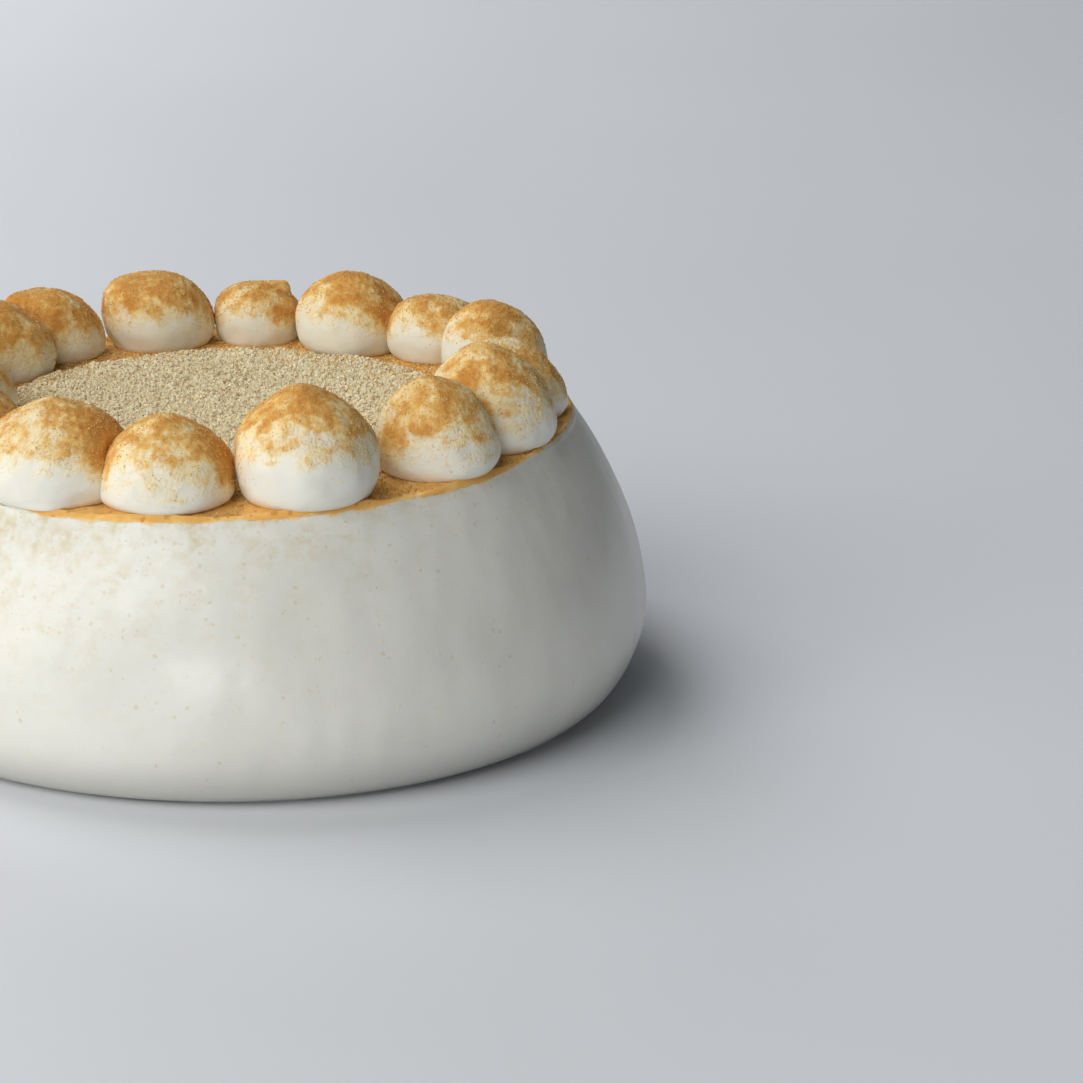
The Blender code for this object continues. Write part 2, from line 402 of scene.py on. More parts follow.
def spread_by_hand(grid, radius, height):
    """The side moved along its normals by lumps, and by waves drawn out into upright streaks."""
    on_side = smoothstep(0.001, 0.012, height) * (radius > SIDE_INNER_RADIUS)
    depth = uneven(grid, SIDE_LUMPS) + uneven(grid * STREAK_STRETCH, SIDE_STREAKS)
    return grid + grid_normals(grid) * depth[..., None] * on_side[..., None]


def powder_edge(azimuth, radius, patches):
    """1 inside the powder's ragged edge. It keeps back from the rim on the right and at one bare place."""
    front_azimuth = np.degrees(np.angle(1j * np.exp(1j * azimuth)))
    to_right = smoothstep(38, 62, front_azimuth) * smoothstep(160, 110, front_azimuth)
    bare = np.exp(-((front_azimuth - BARE_RIM_AZIMUTH) / BARE_RIM_WIDTH) ** 2)
    bare = np.minimum(1, np.maximum(0.45 * to_right, 1.6 * bare))
    kept_back = bare * (1.8 * RIM_ROUNDING - 0.0003 * patches) - 0.0008 * (1 - bare)
    return smoothstep(0.0, 0.0006, RIM_RADIUS - kept_back - radius)


def powder_drift(radius, powdered, near, clumps):
    """How high the powder lies on the ledge: thicker and more clumped near the domes."""
    inside_rim = smoothstep(0.0, 0.0006, RIM_RADIUS - 0.3 * RIM_ROUNDING - radius) * powdered
    return inside_rim * (0.00006 + 0.00060 * near + 0.00012 * clumps * near + 0.00005 * clumps)


def powder_cover(radius, height, depth, powdered, near, clumps, patches):
    """How much powder covers the ledge, and the rim as far down as a little of it spills over. Near the
    domes the cover, and so the powder's deeper colour, rises: partly thicker powder, partly painted shade
    in the crevices.
    """
    spill = smoothstep(RIM_SPILL, 0.3 * RIM_SPILL, depth - 0.00018 * patches)
    spill = np.where(radius < RIM_RADIUS - 0.9 * RIM_ROUNDING, 1, spill)
    # near the domes: partly thicker powder, partly painted shade deepening the colour in the crevices
    cover = powdered * spill * (1.05 + 0.40 * near + 0.30 * patches + 0.15 * clumps)
    return np.where(height > CAKE_HEIGHT - 3 * RIM_SPILL, cover, 0)


def speck_density(azimuth, depth, patches, blotches):
    """How thick the specks lie on the side: most below the rim and on the specked side, in blotches."""
    to_left = (0.5 + 0.5 * np.cos(azimuth - np.radians(SPECKED_SIDE - 90))) ** 3
    density = 0.40 * np.exp(-depth / 0.0030) + 1.05 * to_left * np.exp(-depth / 0.014) + 0.03
    return density * np.maximum(0.15, 1 + 0.5 * patches + 0.6 * blotches)


def make_body(domes, material):
    """The body with its uneven side and powder drifted on its ledge."""
    azimuth, radius, height, turned = body_grid()
    on_ledge = (height > CAKE_HEIGHT - 1.5 * LEDGE_DROP) & (radius < RIM_RADIUS - 0.2 * RIM_ROUNDING)
    near = nearness_to_domes(turned[..., 0] - TOP_SHIFT, turned[..., 1], domes)
    clumps = grid_waves(turned, *BODY_CLUMPS)
    patches = grid_waves(turned, *BODY_PATCHES)
    blotches = grid_waves(turned, *BODY_BLOTCHES)
    powdered = powder_edge(azimuth, radius, patches)
    grid = spread_by_hand(turned, radius, height)
    grid[..., 2] += np.where(on_ledge, powder_drift(radius, powdered, near, clumps), 0)
    piece = make_piece("cake_coat", with_poles(grid), *closed_rows(*height.shape), material, "cream_coat",
                       ["cake_body"])
    depth = np.maximum(0, CAKE_HEIGHT + TOP_SLOPE * turned[..., 0] - grid[..., 2])
    cover = powder_cover(radius, height, depth, powdered, near, clumps, patches)
    density = np.where(on_ledge, 0, speck_density(azimuth, depth, patches, blotches))
    set_field(piece, "ledge_powder", with_poles(cover))
    set_field(piece, "height", with_poles(height))
    set_field(piece, "speck_density", with_poles(density))


# Cream domes

def read_domes():
    """Each dome's foot, half width and height, read off its solid in the ledge's frame.

    The highest vertex is the tip, and the half width is the farthest that a vertex stands
    from the leaning axis.
    """
    domes = []
    for number, (lean, widest, pointedness) in enumerate(DOME_FORMS, 1):
        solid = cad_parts[f"cream_dome_{number:02d}"].data
        points = np.empty(3 * len(solid.vertices), np.float32)
        solid.vertices.foreach_get("co", points)
        points = to_top(points.reshape(-1, 3).astype(float))
        tip = points[points[:, 2].argmax()]
        base = points[:, 2].min()
        height = tip[2] - base
        foot_x = tip[0] + lean / 1000
        axis_x = foot_x - lean / 1000 * np.clip((points[:, 2] - base) / height, 0, 1) ** DOME_LEAN_POWER
        half_width = np.hypot(points[:, 0] - axis_x, points[:, 1] - tip[1]).max()
        domes.append({
            "number": number, "x": foot_x, "y": tip[1], "base": base, "half_width": half_width,
            "height": height, "lean": lean / 1000, "widest": widest, "pointedness": pointedness,
        })
    return domes


def dome_profile(dome):
    """(radii, levels) from the middle of the foot to the tip.

    Below the waist the radius swells as a cosine from the foot, and above it falls as a cosine
    whose power sets how pointed the top is.
    """
    half_width, height = dome["half_width"], dome["height"]
    waist = dome["widest"] * height
    lower = np.linspace(-np.pi / 2, 0, DOME_LOWER_ROWS, endpoint=False)
    upper = np.linspace(0, np.pi / 2, DOME_UPPER_ROWS)
    radius = np.concatenate([
        [0], half_width * (DOME_FOOT + (1 - DOME_FOOT) * np.cos(lower)),
        half_width * np.maximum(np.cos(upper), 0) ** dome["pointedness"],
    ])
    level = np.concatenate([[0], waist * (1 + np.sin(lower)), waist + (height - waist) * np.sin(upper)])
    return radius, level


def dome_grid(dome, neighbours):
    """A blob from a plain nozzle in the ledge's frame, as closed loops from its foot to its tip.

    The tip leans towards -X by a power of the height, the loops are a little oval, and each side
    that meets a neighbour is pressed flat.
    """
    half_width = dome["half_width"]
    radius, level = dome_profile(dome)
    turn = np.linspace(0, 2 * np.pi, DOME_COLUMNS, endpoint=False)
    rng = np.random.default_rng(DOME_SEED + dome["number"])
    two_sided = 0.014 * np.cos(2 * (turn - rng.uniform(0, np.pi)))
    three_sided = 0.008 * np.cos(3 * turn + rng.uniform(0, 6))
    oval = 1 + two_sided + three_sided
    leaning = dome["lean"] * ((level / dome["height"]) ** DOME_LEAN_POWER)[:, None]
    x = radius[:, None] * oval * np.cos(turn) - leaning
    y = radius[:, None] * oval * np.sin(turn)
    closeness = np.zeros_like(x)
    for other in neighbours:
        away = np.array([other["x"] - dome["x"], other["y"] - dome["y"]])
        distance = np.hypot(*away)
        normal = away / distance
        reach = (distance ** 2 + half_width ** 2 - other["half_width"] ** 2) / (2 * distance)
        along = x * normal[0] + y * normal[1]
        pressed = soft_limit(along, reach + DOME_PRESS, 0.0005)
        x = x + (pressed - along) * normal[0]
        y = y + (pressed - along) * normal[1]
        closeness = np.maximum(closeness, np.exp(-np.maximum(reach - along, 0) / CREVICE_REACH))
    z = dome["base"] + level[:, None] + 0 * x
    return np.stack([dome["x"] + x, dome["y"] + y, z], axis=-1), closeness


def dome_marks(dome, grid, level):
    """Rise and extra powder, the powder partly painted light and shade, over one dome: a bell exp(-a^2 -
    b^2) for each of its marks.

    Here a is the way sideways and b the way up, each as a share of the mark's spread that way.
    """
    rise = np.zeros(level.shape)
    powder = np.zeros(level.shape)
    turn = np.arctan2(grid[..., 0] - dome["x"], dome["y"] - grid[..., 1])
    radius = np.hypot(grid[..., 0] - dome["x"], grid[..., 1] - dome["y"])
    for number, azimuth, share, along, up, out, more in DOME_MARKS:
        if number != dome["number"]:
            continue
        turned = np.angle(np.exp(1j * (turn - np.radians(azimuth))))
        sideways = radius * turned * 1000 / along
        upward = (level - share) * dome["height"] * 1000 / up
        bell = np.exp(-sideways ** 2 - upward ** 2)
        rise += out / 1000 * bell
        # the powder marks partly paint shade on the right sides of domes 1 and 2, and light on the
        # front-left of domes 1 to 3
        powder += more * bell
    return rise, powder


def make_dome(dome, neighbours, material):
    """The blob with soft lumps and a crust of powder where it faces up and in its crevices, reaching lower
    on its side facing +X, which is partly painted shade.
    """
    blob, closeness = dome_grid(dome, neighbours)
    number = dome["number"]
    level = (blob[..., 2] - dome["base"]) / dome["height"]
    lumps = uneven(blob, DOME_LUMPS, number) * smoothstep(0.0, 0.15, level)
    rise, powder = dome_marks(dome, blob, level)
    grid = blob + grid_normals(blob) * (lumps + rise)[..., None]
    normals = grid_normals(grid)
    broad = grid_waves(blob, *DOME_BROAD, number)
    patches = grid_waves(blob, *DOME_PATCHES, number)
    # the normal's X share lets the powder reach lower on sides facing +X, away from the lamps: partly
    # powder, partly painted shade
    slope = normals[..., 2] + 0.10 * normals[..., 0] + 0.10 * broad + 0.12 * patches
    cover = smoothstep(-0.05, 0.95, slope) + 0.8 * closeness * smoothstep(0.10, 0.60, level) + powder
    clumps = grid_waves(blob, *DOME_CLUMPS, number)
    fine = grid_waves(blob, *DOME_FINE, number)
    crust = np.clip(cover, 0, 1) * (0.00010 + 0.00008 * clumps + 0.00004 * fine)
    grid = grid + normals * crust[..., None]
    grid, normals = from_top(grid), normals @ LEDGE_AXES.T
    piece = make_piece(f"piped_dome_{number:02d}", with_poles(grid), *closed_rows(*level.shape), material,
                       "dusted_cream", [f"cream_dome_{number:02d}"])
    set_field(piece, "dust", with_poles(cover))
    return grid, normals, cover


# Loose grains

def grain_shape(corners):
    """A rough little body: an octahedron of 8 faces, or an icosahedron of 20."""
    if corners == 6:
        points = np.array([[1, 0, 0], [-1, 0, 0], [0, 1, 0], [0, -1, 0], [0, 0, 1], [0, 0, -1]], float)
        upper = [[4, 0, 2], [4, 2, 1], [4, 1, 3], [4, 3, 0]]
        lower = [[5, 2, 0], [5, 1, 2], [5, 3, 1], [5, 0, 3]]
        return points, np.array(upper + lower)
    golden = (1 + math.sqrt(5)) / 2
    points = np.array([[s * 1, t * golden, 0] for s in (-1, 1) for t in (-1, 1)])
    points = np.concatenate([points, np.roll(points, 1, axis=1), np.roll(points, 2, axis=1)])
    points /= np.linalg.norm(points[0])
    near = np.linalg.norm(points[:, None] - points[None], axis=-1) < 1.2
    faces = []
    for a in range(12):
        for b in range(a + 1, 12):
            for c in range(b + 1, 12):
                if near[a, b] and near[b, c] and near[a, c]:
                    outward = np.dot(np.cross(points[b] - points[a], points[c] - points[a]), points[a]) > 0
                    faces.append([a, b, c] if outward else [a, c, b])
    return points, np.array(faces)


def random_turns(count, rng):
    """Rotation matrices evenly spread over all directions, from random unit quaternions."""
    q = rng.normal(size=(count, 4))
    w, x, y, z = (q / np.linalg.norm(q, axis=1, keepdims=True)).T
    return np.stack([
        np.stack([1 - 2 * (y * y + z * z), 2 * (x * y - z * w), 2 * (x * z + y * w)], -1),
        np.stack([2 * (x * y + z * w), 1 - 2 * (x * x + z * z), 2 * (y * z - x * w)], -1),
        np.stack([2 * (x * z - y * w), 2 * (y * z + x * w), 1 - 2 * (x * x + y * y)], -1),
    ], axis=1)


def make_grains(name, places, sizes, tones, material, slot, corners, seed):
    """Joined rough grains: one small body at each place, each turned, stretched and dented at random."""
    rng = np.random.default_rng(seed)
    points, faces = grain_shape(corners)
    count = len(places)
    dented = points * rng.uniform(0.66, 1.22, (count, len(points), 1))
    stretched = dented * rng.uniform(0.8, 1.2, (count, 1, 3)) * (sizes / 2)[:, None, None]
    turned = np.einsum("nij,nkj->nki", random_turns(count, rng), stretched)
    vertices = (turned + places[:, None]).reshape(-1, 3)
    triangles = (faces[None] + len(points) * np.arange(count)[:, None, None]).reshape(-1, 3)
    piece = make_piece(name, vertices, [], triangles, material, slot, smooth=False)
    set_field(piece, "tone", np.repeat(tones, len(points)))
    return piece


def scatter_on_grid(grid, normals, weight, count, rng):
    """Random places on a surface, drawn by area times weight, with the surface's normals there."""
    edge_up = np.linalg.norm(grid[1:] - grid[:-1], axis=-1)
    edge_along = np.linalg.norm(np.roll(grid, -1, axis=1) - grid, axis=-1)[:-1]
    chance = (edge_up * edge_along * np.maximum(weight[:-1], 0)).ravel()
    picks = rng.choice(len(chance), count, p=chance / chance.sum())
    row, column = np.divmod(picks, grid.shape[1])
    after = (column + 1) % grid.shape[1]
    s, t = rng.random((2, count, 1))
    places = (grid[row, column] * (1 - s) + grid[row, after] * s) * (1 - t)
    places += (grid[row + 1, column] * (1 - s) + grid[row + 1, after] * s) * t
    return places, normals[row, column]


# Crumb bed

def crumb_reach(turns, domes):
    """How far the bed reaches each way: a round edge, held clear of the domes in its way."""
    directions = np.column_stack([np.cos(turns), np.sin(turns)])
    reach = np.full(len(turns), CRUMB_BED_RADIUS + 0.0010)
    for dome in domes:
        centre = np.array([dome["x"], dome["y"]])
        along = directions @ centre
        across = directions[:, 0] * centre[1] - directions[:, 1] * centre[0]
        half_chord = np.sqrt(np.maximum(0.0, (0.93 * dome["half_width"]) ** 2 - across ** 2))
        blocked = (half_chord > 0) & (along > 0)
        reach = np.where(blocked, np.minimum(reach, along - half_chord), reach)
    return reach


def make_crumb_core(domes, material):
    """A low crowned disc out to the reach, with relief of a crumb's size on top."""
    turns = np.linspace(0, 2 * np.pi, CORE_COLUMNS, endpoint=False)
    share = np.concatenate([[0, 0.5, 0.9, 1.0], np.linspace(1, 0, CORE_ROWS)[1:]])[:, None]
    top = np.concatenate([np.zeros(4), np.ones(CORE_ROWS - 1)])[:, None]
    edge = np.minimum(1.0, 0.35 + 0.65 * (1 - share) / 0.07)
    reach = crumb_reach(turns, domes)
    x = share * reach * np.cos(turns)
    y = share * reach * np.sin(turns)
    relief = uneven(np.stack([x, y, 0 * x], axis=-1), CRUMB_RELIEF)
    rise = CRUMB_BED_HEIGHT * edge + CRUMB_BED_CROWN * (1 - share ** 2) - CRUMB_SINK + relief
    grid = from_top(np.stack([x, y, LEDGE_GAP + top * rise], axis=-1))
    piece = make_piece("crumb_bed_core", with_poles(grid), *closed_rows(*x.shape), material, "crumbs",
                       ["crumb_bed"])
    set_field(piece, "tone", np.full(len(piece.data.vertices), 0.45))
    return grid, top + 0 * x


def crumb_tones(places, domes, rng):
    """A tone for each crumb: most pale, a few toasted, and powder-coloured (below zero) near the domes and
    towards the bed's left edge, where they are partly painted shade.
    """
    count = len(places)
    seen = to_top(places)
    dusted = nearness_to_domes(seen[:, 0], seen[:, 1], domes) ** 0.48
    tones = 0.66 + 0.10 * rng.normal(size=count) + 0.09 * waves(places, *CRUMB_TONE_WAVES)
    tones = np.where(rng.random(count) < TOASTED_SHARE, TOASTED_TONE, tones)
    # more powder-coloured crumbs towards the bed's left edge: partly powder, partly painted shade cast by
    # the domes there
    dusted = 0.75 * dusted + 0.60 * smoothstep(-0.036, -0.052, seen[:, 0])
    return np.where(rng.random(count) < dusted, DUSTED_TONE, tones)


def make_stray_crumbs(domes, rng, material):
    """Crumbs that lie past the bed's edge on the ledge, fewer the farther out, and none under a dome."""
    turns = rng.uniform(0, 2 * np.pi, STRAY_COUNT)
    radius = CRUMB_BED_RADIUS + rng.exponential(STRAY_REACH, STRAY_COUNT)
    x, y = radius * np.cos(turns), radius * np.sin(turns)
    free = radius < RIM_RADIUS - 0.006
    for dome in domes:
        free &= np.hypot(x - dome["x"], y - dome["y"]) > 0.85 * dome["half_width"]
    near = nearness_to_domes(x, y, domes)
    lift = 0.0003 + 0.0004 * near + rng.uniform(0, 0.0002, STRAY_COUNT)
    places = from_top(np.column_stack([x, y, lift]))[free]
    sizes = CRUMB_SIZE * rng.uniform(0.35, 0.9, len(places))
    tones = np.where(rng.random(len(places)) < 0.6, DUSTED_TONE, crumb_tones(places, domes, rng))
    make_grains("crumbs_stray", places, sizes, tones, material, "crumbs", corners=6, seed=46)


def make_crumbs(core, domes, material):
    """Pale crumbs of about one size with finer ones among them, heaped on the core."""
    grid, top = core
    normals = grid_normals(grid)
    rng = np.random.default_rng(CRUMB_SEED)
    for name, count, share, lift, corners, seed in CRUMB_KINDS:
        places, _ = scatter_on_grid(grid, normals, top, count, rng)
        places[:, 2] += lift + rng.uniform(-0.00030, 0.00030, count)
        sizes = share * CRUMB_SIZE * rng.uniform(0.6, 1.4, count)
        tones = crumb_tones(places, domes, rng)
        make_grains(name, places, sizes, tones, material, "crumbs", corners, seed)
    make_stray_crumbs(domes, rng, material)


def make_powder_grains(surfaces, material):
    """Clumped powder lying on the domes: little grains, most where the cover is thick."""
    rng = np.random.default_rng(DOME_GRAIN_SEED)
    places = []
    for grid, normals, cover in surfaces:
        weight = np.clip(cover, 0, 1) ** 1.5
        spots, outward = scatter_on_grid(grid, normals, weight, DOME_GRAINS_EACH, rng)
        places.append(spots + 0.00002 * outward)
    places = np.concatenate(places)
    sizes = DOME_GRAIN_SIZE * rng.uniform(0.6, 1.8, len(places))
    tones = 0.50 + 0.20 * rng.normal(size=len(places))
    make_grains("powder_on_domes", places, sizes, tones, material, "dusted_cream", corners=6, seed=52)


def make_ledge_grains(domes, material):
    """Powder grains lying on the ledge, most in the crevices between the domes, a few on the lip."""
    rng = np.random.default_rng(LEDGE_GRAIN_SEED)
    drawn = LEDGE_GRAINS_DRAWN
    azimuth = rng.uniform(0, 2 * np.pi, drawn)
    radius = np.sqrt(rng.uniform(CRUMB_BED_RADIUS ** 2, (RIM_RADIUS - 0.0004) ** 2, drawn))
    x, y = radius * np.sin(azimuth), -radius * np.cos(azimuth)
    under = np.zeros(drawn, bool)
    for dome in domes:
        under |= np.hypot(x - dome["x"], y - dome["y"]) < 0.9 * DOME_FOOT * dome["half_width"]
    on_lip = radius > RIM_RADIUS - 2.2 * RIM_ROUNDING
    keep = np.flatnonzero(~under & (~on_lip | (rng.random(drawn) < 0.12)))[:LEDGE_GRAINS_KEPT]
    x, y, on_lip = x[keep], y[keep], on_lip[keep]
    near = nearness_to_domes(x, y, domes)
    lift = np.where(on_lip, LEDGE_DROP, 0.00012 + 0.00045 * near)
    places = from_top(np.column_stack([x, y, lift]))
    sizes = LEDGE_GRAIN_SIZE * rng.uniform(0.6, 1.7, len(x))
    tones = 0.45 + 0.25 * rng.normal(size=len(x))
    make_grains("powder_on_ledge", places, sizes, tones, material, "dusted_cream", corners=6, seed=62)


def make_foot_line(material):
    """A thin uneven line of cream squeezed out at the foot, thicker in places, with a few beads."""
    columns, loops = FOOT_LINE_COLUMNS, FOOT_LINE_LOOPS
    turn = np.linspace(0, 2 * np.pi, columns, endpoint=False)
    around = np.linspace(0, 2 * np.pi, loops, endpoint=False)
    ring = np.column_stack([np.cos(turn), np.sin(turn), np.zeros(columns)])
    beads = waves(ring * FOOT_RADIUS, *FOOT_BEADS)
    swell = waves(ring * FOOT_RADIUS, *FOOT_SWELL)
    thickness = FOOT_LINE_THICKNESS + 0.00016 * np.maximum(beads, 0) + 0.00014 * swell
    thickness = np.maximum(thickness, FOOT_LINE_THINNEST)
    radius = FOOT_RADIUS + 0.0007 + 0.0003 * swell[:, None] + thickness[:, None] * 1.6 * np.cos(around)
    height = thickness[:, None] * (1 + np.sin(around))
    grid = np.stack([radius * ring[:, :1], radius * ring[:, 1:2], height + 0 * radius], axis=-1)
    index = np.arange(columns * loops).reshape(columns, loops)
    across = np.roll(index, -1, axis=1)
    quads = np.stack([index, np.roll(index, -1, 0), np.roll(across, -1, 0), across], -1).reshape(-1, 4)
    make_piece("foot_line", grid.reshape(-1, 3), quads, [], material, "cream_coat")


# Materials

def new_group(name, inputs, outputs):
    """An empty shader group with named sockets. Each input is (name, kind, default)."""
    group = bpy.data.node_groups.new(name, "ShaderNodeTree")
    for socket, kind, default in inputs:
        made = group.interface.new_socket(socket, in_out="INPUT", socket_type=kind)
        if default is not None:
            made.default_value = default
    for socket, kind in outputs:
        group.interface.new_socket(socket, in_out="OUTPUT", socket_type=kind)
    return group, group.nodes.new("NodeGroupInput"), group.nodes.new("NodeGroupOutput")


def add_node(tree, kind, **settings):
    """A node with its properties set, and its sockets set or linked, by name or number."""
    sockets = settings.pop("sockets", {})
    node = tree.nodes.new(kind)
    for name, value in settings.items():
        setattr(node, name, value)
    for key, value in sockets.items():
        if isinstance(value, bpy.types.NodeSocket):
            tree.links.new(value, node.inputs[key])
        else:
            node.inputs[key].default_value = value
    return node


def rgba(colour):
    return (*colour, 1.0)


def noise(tree, vector, scale, detail=2.0, roughness=0.5):
    node = add_node(tree, "ShaderNodeTexNoise", sockets={
        "Vector": vector, "Scale": scale, "Detail": detail, "Roughness": roughness})
    return node.outputs["Fac"]


def math_node(tree, operation, first, second, third=None):
    sockets = {0: first, 1: second}
    if third is not None:
        sockets[2] = third
    return add_node(tree, "ShaderNodeMath", operation=operation, sockets=sockets).outputs[0]


def mapped(tree, value, low, high, to_low=0.0, to_high=1.0):
    """The value mapped smoothly from one range to another, and held to its ends."""
    node = add_node(tree, "ShaderNodeMapRange", interpolation_type="SMOOTHSTEP", sockets={
        "Value": value, "From Min": low, "From Max": high, "To Min": to_low, "To Max": to_high})
    return node.outputs["Result"]


def mixed(tree, share, first, second):
    node = add_node(tree, "ShaderNodeMix", data_type="RGBA", sockets={0: share, 6: first, 7: second})
    return node.outputs[2]


def powder_tint_group():
    """Roasted powder's colour: pale where thin, deep where clumped, with a fine grain over both."""
    group, into, out = new_group("powder_tint", [
        ("Vector", "NodeSocketVector", None), ("Cover", "NodeSocketFloat", 1.0),
    ], [("Color", "NodeSocketColor"), ("Height", "NodeSocketFloat")])
    where = into.outputs["Vector"]
    broad = noise(group, where, scale=240.0, detail=1.0)
    clumps = noise(group, where, scale=700.0)
    fine = noise(group, where, scale=3000.0, detail=1.0)
    relief = math_node(group, "MULTIPLY_ADD", fine, 0.50, math_node(group, "MULTIPLY", clumps, 1.2))
    total = math_node(group, "MULTIPLY_ADD", broad, 1.9, relief)
    thick = math_node(group, "MULTIPLY_ADD", into.outputs["Cover"], 0.85, total)
    ramp = add_node(group, "ShaderNodeValToRGB", sockets={0: mapped(group, thick, 1.95, 3.17)})
    ramp.color_ramp.elements[0].color = rgba(POWDER_PALE)
    ramp.color_ramp.elements[1].color = rgba(POWDER_DEEP)
    ramp.color_ramp.elements.new(0.5).color = rgba(POWDER_MIDDLE)
    group.links.new(ramp.outputs["Color"], out.inputs["Color"])
    group.links.new(relief, out.inputs["Height"])
    return group


def powder_mask_group():
    """How much powder hides the cream: the cover and two grains added, so that it fades in dots."""
    group, into, out = new_group("powder_mask", [
        ("Vector", "NodeSocketVector", None), ("Cover", "NodeSocketFloat", 0.5),
    ], [("Mask", "NodeSocketFloat")])
    where = into.outputs["Vector"]
    fine = noise(group, where, scale=1700.0, detail=1.0)
    medium = noise(group, where, scale=620.0, detail=1.0)
    total = math_node(group, "MULTIPLY_ADD", fine, 0.75, into.outputs["Cover"])
    total = math_node(group, "MULTIPLY_ADD", medium, 0.90, total)
    group.links.new(mapped(group, total, 0.94, 1.62), out.inputs["Mask"])
    return group


def specks_group():
    """Scattered dots with ragged edges: cells of which only a share, set by the density, hold a dot."""
    group, into, out = new_group("specks", [
        ("Vector", "NodeSocketVector", None), ("Density", "NodeSocketFloat", 0.2),
        ("Scale", "NodeSocketFloat", 900.0), ("Size", "NodeSocketFloat", 0.22),
    ], [("Mask", "NodeSocketFloat")])
    cells = add_node(group, "ShaderNodeTexVoronoi", sockets={
        "Vector": into.outputs["Vector"], "Scale": into.outputs["Scale"]})
    chance = add_node(group, "ShaderNodeSeparateColor", sockets={0: cells.outputs["Color"]})
    held = math_node(group, "LESS_THAN", chance.outputs[0], into.outputs["Density"])
    size = math_node(group, "MULTIPLY_ADD", chance.outputs[1], into.outputs["Size"], 0.30)
    outline = noise(group, into.outputs["Vector"], scale=1900.0)
    ragged = math_node(group, "MULTIPLY_ADD", outline, 0.75, cells.outputs["Distance"])
    edge = math_node(group, "SUBTRACT", size, ragged)
    dot = mapped(group, edge, -0.20, 0.10)
    group.links.new(math_node(group, "MULTIPLY", dot, held), out.inputs["Mask"])
    return group


GROUPS = {}


def group_node(tree, name, **sockets):
    return add_node(tree, "ShaderNodeGroup", node_tree=GROUPS[name], sockets=sockets)


def new_material(name):
    """A material with its shader, its tree and the Object coordinates."""
    material = bpy.data.materials.new(name)
    material.use_nodes = True
    tree = material.node_tree
    shader = tree.nodes["Principled BSDF"]
    where = add_node(tree, "ShaderNodeTexCoord").outputs["Object"]
    return material, tree, shader, where


def field(tree, name):
    return add_node(tree, "ShaderNodeAttribute", attribute_name=name).outputs["Fac"]


def set_bump(tree, shader, height, distance, strength=1.0):
    bump = add_node(tree, "ShaderNodeBump", sockets={
        "Height": height, "Distance": distance, "Strength": strength})
    tree.links.new(bump.outputs["Normal"], shader.inputs["Normal"])


def set_powder_bump(tree, shader, mask, relief, pores, distance):
    """The powder's relief where there is powder, on top of the cream's pores."""
    set_bump(tree, shader, math_node(tree, "MULTIPLY_ADD", mask, relief, pores), distance)


def soften(shader, weight, depth):
    """Lets light a little way into cream."""
    shader.inputs["Subsurface Weight"].default_value = weight
    shader.inputs["Subsurface Radius"].default_value = (1.0, 0.75, 0.5)
    shader.inputs["Subsurface Scale"].default_value = depth


def powder_nodes(tree, where, cover):
    """How much of the surface powder hides, and the powder's colour and relief."""
    mask = group_node(tree, "powder_mask", Vector=where, Cover=cover).outputs[0]
    tint = group_node(tree, "powder_tint", Vector=where, Cover=cover)
    return mask, tint.outputs["Color"], tint.outputs["Height"]


def speck_marks(tree, where):
    """How much powder is specked over the side: haze, specks, and a few larger flecks."""
    density = field(tree, "speck_density")
    specks = group_node(tree, "specks", Vector=where, Density=density, Scale=800.0, Size=0.40).outputs[0]
    sparse = math_node(tree, "MULTIPLY", density, 0.16)
    flecks = group_node(tree, "specks", Vector=where, Density=sparse, Scale=480.0, Size=0.26).outputs[0]
    haze = mapped(tree, noise(tree, where, scale=420.0, detail=3.0, roughness=0.6), 0.35, 0.75, 0.10, 1.0)
    haze = math_node(tree, "MULTIPLY", haze, math_node(tree, "MULTIPLY", density, 0.60))
    marks = math_node(tree, "MAXIMUM", haze, math_node(tree, "MULTIPLY", specks, 0.40))
    return math_node(tree, "MAXIMUM", marks, math_node(tree, "MULTIPLY", flecks, 0.50))


def coat_material():
    """Smooth ivory cream with faint clouding, fine powder specks, powder on the ledge, and painted shade
    darkening it towards the foot.
    """
    material, tree, shader, where = new_material("ivory_cream_coat")
    clouds = noise(tree, where, scale=38.0, detail=3.0, roughness=0.55)
    cream = mixed(tree, mapped(tree, clouds, 0.35, 0.75, 0.0, 0.4), rgba(CREAM), rgba(CREAM_SHADE))
    # painted shade: below this height the cream darkens towards the foot
    low = mapped(tree, field(tree, "height"), 0.0, PAINTED_FOOT_SHADE_HEIGHT, 1.0, 0.0)
    cream = mixed(tree, low, cream, rgba(CREAM_PAINTED_FOOT_SHADE))
    dotted = mixed(tree, speck_marks(tree, where), cream, rgba(SPECK))
    mask, tint, relief = powder_nodes(tree, where, field(tree, "ledge_powder"))
    spots = group_node(tree, "specks", Vector=where, Density=0.42, Scale=620.0, Size=0.55).outputs[0]
    tint = mixed(tree, 0.55, tint, rgba(POWDER_LEDGE))
    tint = mixed(tree, math_node(tree, "MULTIPLY", spots, 0.80), tint, rgba(POWDER_DEEP))
    tree.links.new(mixed(tree, mask, dotted, tint), shader.inputs["Base Color"])
    tree.links.new(mapped(tree, mask, 0, 1, 0.40, 0.92), shader.inputs["Roughness"])
    pores = noise(tree, where, scale=1500.0, detail=2.0, roughness=0.6)
    set_powder_bump(tree, shader, mask, relief, math_node(tree, "MULTIPLY", pores, 0.06), 0.00014)
    soften(shader, 0.20, 0.003)
    clean = mapped(tree, mask, 0.0, 0.5, COAT_GLOSS, 0.0)
    smooth = mapped(tree, field(tree, "height"), DUSTY_HEIGHT, CAKE_HEIGHT, 1.0, 0.15)
    tree.links.new(math_node(tree, "MULTIPLY", clean, smooth), shader.inputs["Coat Weight"])
    shader.inputs["Coat Roughness"].default_value = 0.22
    return material


